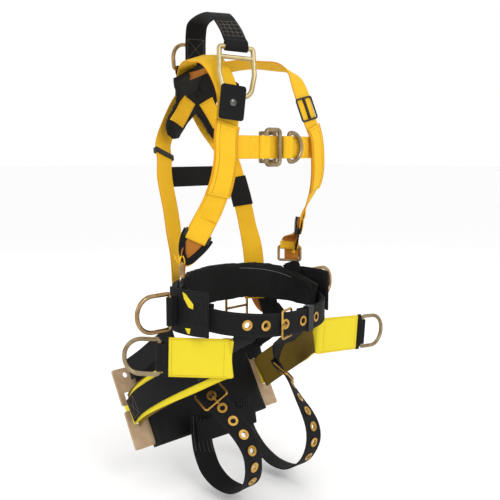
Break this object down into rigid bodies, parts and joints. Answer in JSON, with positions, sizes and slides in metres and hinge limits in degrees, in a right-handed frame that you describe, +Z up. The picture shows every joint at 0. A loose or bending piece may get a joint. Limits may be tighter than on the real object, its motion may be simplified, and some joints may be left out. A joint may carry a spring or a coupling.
{
  "type": "full body safety harness",
  "caption": "Tower climber's full body harness: shoulder, chest and leg straps, padded waist belt, work seat with board, and forged attachment rings.",
  "frame": {"origin": "centre of the waist belt, where the wearer's waist passes", "axes": "+Z up, the wearer faces -Y, the wearer's left is +X"},
  "size_m": [0.6009, 0.3458, 0.9439],
  "materials": {
    "yellow_webbing": "woven polyester, slight sheen",
    "black_webbing": "woven polyester, matt",
    "black_padding": "coated fabric over foam, matt",
    "brass_fittings": "plated, satin",
    "pale_gold_steel": "forged, yellow plated",
    "tan_steel": "forged, dull plated",
    "bronze_steel": "forged, bronze plated",
    "tan_board": "satin paint",
    "snap_metal": "plated dome",
    "black_plastic": "moulded, matt"
  },
  "bodies": {
    "harness": {"adjuster_web_left": "yellow_webbing", "adjuster_web_right": "yellow_webbing", "back_strap": "black_webbing", "chest_overlay_left": "yellow_webbing", "chest_overlay_right": "yellow_webbing", "chest_strap_left": "yellow_webbing", "chest_strap_right": "yellow_webbing", "dorsal_pad": "black_padding", "dorsal_ring_loop": "black_webbing", "extension_web": "black_webbing", "front_keeper_left": "black_plastic", "front_keeper_right": "black_plastic", "hip_tab_left": "black_webbing", "hip_tab_right": "black_webbing", "hip_webs": "yellow_webbing", "label_sleeve": "black_webbing", "leg_grommets_left": "brass_fittings", "leg_grommets_right": "brass_fittings", "leg_riser_left": "black_webbing", "leg_riser_right": "black_webbing", "leg_strap_left": "black_webbing", "leg_strap_right": "black_webbing", "lumbar_pad": "black_padding", "rear_slides": "bronze_steel", "saddle_strap_left": "yellow_webbing", "saddle_strap_right": "yellow_webbing", "saddle_webs": "black_webbing", "seat_board": "tan_board", "seat_cover": "black_padding", "seat_hanger_left": "black_webbing", "seat_hanger_right": "black_webbing", "seat_ring_loops": "black_webbing", "sub_pelvic_web": "black_webbing", "torso_strap_left": "yellow_webbing", "torso_strap_right": "yellow_webbing", "waist_belt": "black_webbing", "waist_grommets": "brass_fittings"},
    "dorsal_ring": {"dorsal_ring": "bronze_steel"},
    "extension_ring": {"extension_ring": "pale_gold_steel"},
    "flap": {"stowage_flap": "black_webbing", "snap_cap": "snap_metal"},
    "lanyard_keeper": {"lanyard_keeper": "black_plastic"},
    "chest_ring": {"chest_ring": "tan_steel"},
    "chest_buckle_outer": {"chest_buckle_outer": "tan_steel"},
    "chest_buckle_inner": {"chest_buckle_inner": "tan_steel"},
    "hip_ring_right": {"hip_ring_right": "bronze_steel"},
    "hip_ring_left": {"hip_ring_left": "bronze_steel"},
    "seat_ring_right": {"seat_ring_right": "tan_steel"},
    "seat_ring_left": {"seat_ring_left": "tan_steel"},
    "waist_buckle": {"waist_buckle_frame": "brass_fittings"},
    "waist_tongue": {"waist_buckle_tongue": "brass_fittings"},
    "leg_buckle_right": {"leg_buckle_right_frame": "brass_fittings"},
    "leg_tongue_right": {"leg_buckle_right_tongue": "brass_fittings"},
    "leg_buckle_left": {"leg_buckle_left_frame": "brass_fittings"},
    "leg_tongue_left": {"leg_buckle_left_tongue": "brass_fittings"},
    "torso_adjuster_right": {"torso_adjuster_right": "bronze_steel"},
    "torso_adjuster_left": {"torso_adjuster_left": "bronze_steel"},
    "belt_keeper": {"belt_keeper": "black_plastic"},
    "rear_keeper_right": {"rear_keeper_right": "black_plastic"},
    "rear_keeper_left": {"rear_keeper_left": "black_plastic"}
  },
  "joints": [
    {"name": "dorsal_ring_swing", "type": "hinge", "parent": "harness", "child": "dorsal_ring", "pos_m": [0, 0.198, 0.462], "axis": [1, 0, 0], "range_deg": [-95, 6]},
    {"name": "extension_ring_swing", "type": "hinge", "parent": "harness", "child": "extension_ring", "pos_m": [-0.083, -0.045, 0.477], "axis": [0.9292, -0.3697, 0], "range_deg": [-4, 0]},
    {"name": "flap_open", "type": "hinge", "parent": "harness", "child": "flap", "pos_m": [-0.14037, -0.06411, 0.37863], "axis": [0.1243, -0.0096, 0.9922], "range_deg": [-95, 0]},
    {"name": "lanyard_keeper_slide", "type": "slide", "parent": "harness", "child": "lanyard_keeper", "axis": [-0.2269, 0.233, 0.9456], "range_m": [-0.003, 0.003]},
    {"name": "chest_ring_swing", "type": "hinge", "parent": "harness", "child": "chest_ring", "pos_m": [0.031, -0.0724, 0.297], "axis": [0, 0, 1], "range_deg": [-120, 0]},
    {"name": "chest_buckle_outer_swing", "type": "hinge", "parent": "harness", "child": "chest_buckle_outer", "pos_m": [-0.029, -0.07, 0.297], "axis": [0, 0, 1], "range_deg": [-3, 3]},
    {"name": "chest_buckle_inner_swing", "type": "hinge", "parent": "harness", "child": "chest_buckle_inner", "pos_m": [-0.011, -0.056, 0.297], "axis": [0, 0, 1], "range_deg": [-1, 1]},
    {"name": "hip_ring_swing_right", "type": "hinge", "parent": "harness", "child": "hip_ring_right", "pos_m": [-0.199, 0.013, -0.006], "axis": [0, 0, 1], "range_deg": [-45, 45]},
    {"name": "seat_ring_swing_right", "type": "hinge", "parent": "harness", "child": "seat_ring_right", "pos_m": [-0.21852, 0.02202, -0.09083], "axis": [0.0215, -0.0209, 0.9996], "range_deg": [-45, 45]},
    {"name": "torso_adjuster_tilt_right", "type": "hinge", "parent": "harness", "child": "torso_adjuster_right", "pos_m": [-0.152, 0.036, 0.082], "axis": [0.5665, 0.824, 0], "range_deg": [-8, 8]},
    {"name": "leg_buckle_lift_right", "type": "hinge", "parent": "harness", "child": "leg_buckle_right", "pos_m": [-0.10463, 0.02528, -0.1798], "axis": [-0.7587, 0.2992, -0.5786], "range_deg": [0, 3]},
    {"name": "leg_tongue_lift_right", "type": "hinge", "parent": "leg_buckle_right", "child": "leg_tongue_right", "pos_m": [-0.10463, 0.02528, -0.1798], "axis": [-0.7587, 0.2992, -0.5786], "range_deg": [0, 3]},
    {"name": "rear_keeper_slide_right", "type": "slide", "parent": "harness", "child": "rear_keeper_right", "axis": [0.3099, 0.4985, 0.8096], "range_m": [-0.005, 0.005]},
    {"name": "hip_ring_swing_left", "type": "hinge", "parent": "harness", "child": "hip_ring_left", "pos_m": [0.199, 0.013, -0.006], "axis": [0, 0, -1], "range_deg": [-45, 45]},
    {"name": "seat_ring_swing_left", "type": "hinge", "parent": "harness", "child": "seat_ring_left", "pos_m": [0.25661, -0.08612, -0.10612], "axis": [-0.08, 0.0065, -0.9968], "range_deg": [-45, 45]},
    {"name": "torso_adjuster_tilt_left", "type": "hinge", "parent": "harness", "child": "torso_adjuster_left", "pos_m": [0.152, 0.036, 0.082], "axis": [-0.5665, 0.824, 0], "range_deg": [-8, 8]},
    {"name": "leg_buckle_lift_left", "type": "hinge", "parent": "harness", "child": "leg_buckle_left", "pos_m": [0.10463, 0.02528, -0.1798], "axis": [-0.7587, -0.2992, 0.5786], "range_deg": [0, 3]},
    {"name": "leg_tongue_lift_left", "type": "hinge", "parent": "leg_buckle_left", "child": "leg_tongue_left", "pos_m": [0.10463, 0.02528, -0.1798], "axis": [-0.7587, -0.2992, 0.5786], "range_deg": [0, 3]},
    {"name": "rear_keeper_slide_left", "type": "slide", "parent": "harness", "child": "rear_keeper_left", "axis": [-0.3321, 0.3696, 0.8678], "range_m": [-0.005, 0.005]},
    {"name": "waist_buckle_lift", "type": "hinge", "parent": "harness", "child": "waist_buckle", "pos_m": [0, -0.1102, -0.03666], "axis": [0, 0, 1], "range_deg": [0, 2]},
    {"name": "waist_tongue_lift", "type": "hinge", "parent": "waist_buckle", "child": "waist_tongue", "pos_m": [0, -0.1102, -0.03666], "axis": [0, 0, 1], "range_deg": [0, 1.5]},
    {"name": "belt_keeper_slide", "type": "slide", "parent": "harness", "child": "belt_keeper", "axis": [0.99, 0.1405, -0.0079], "range_m": [-0.0012, 0.0012]}
  ]
}
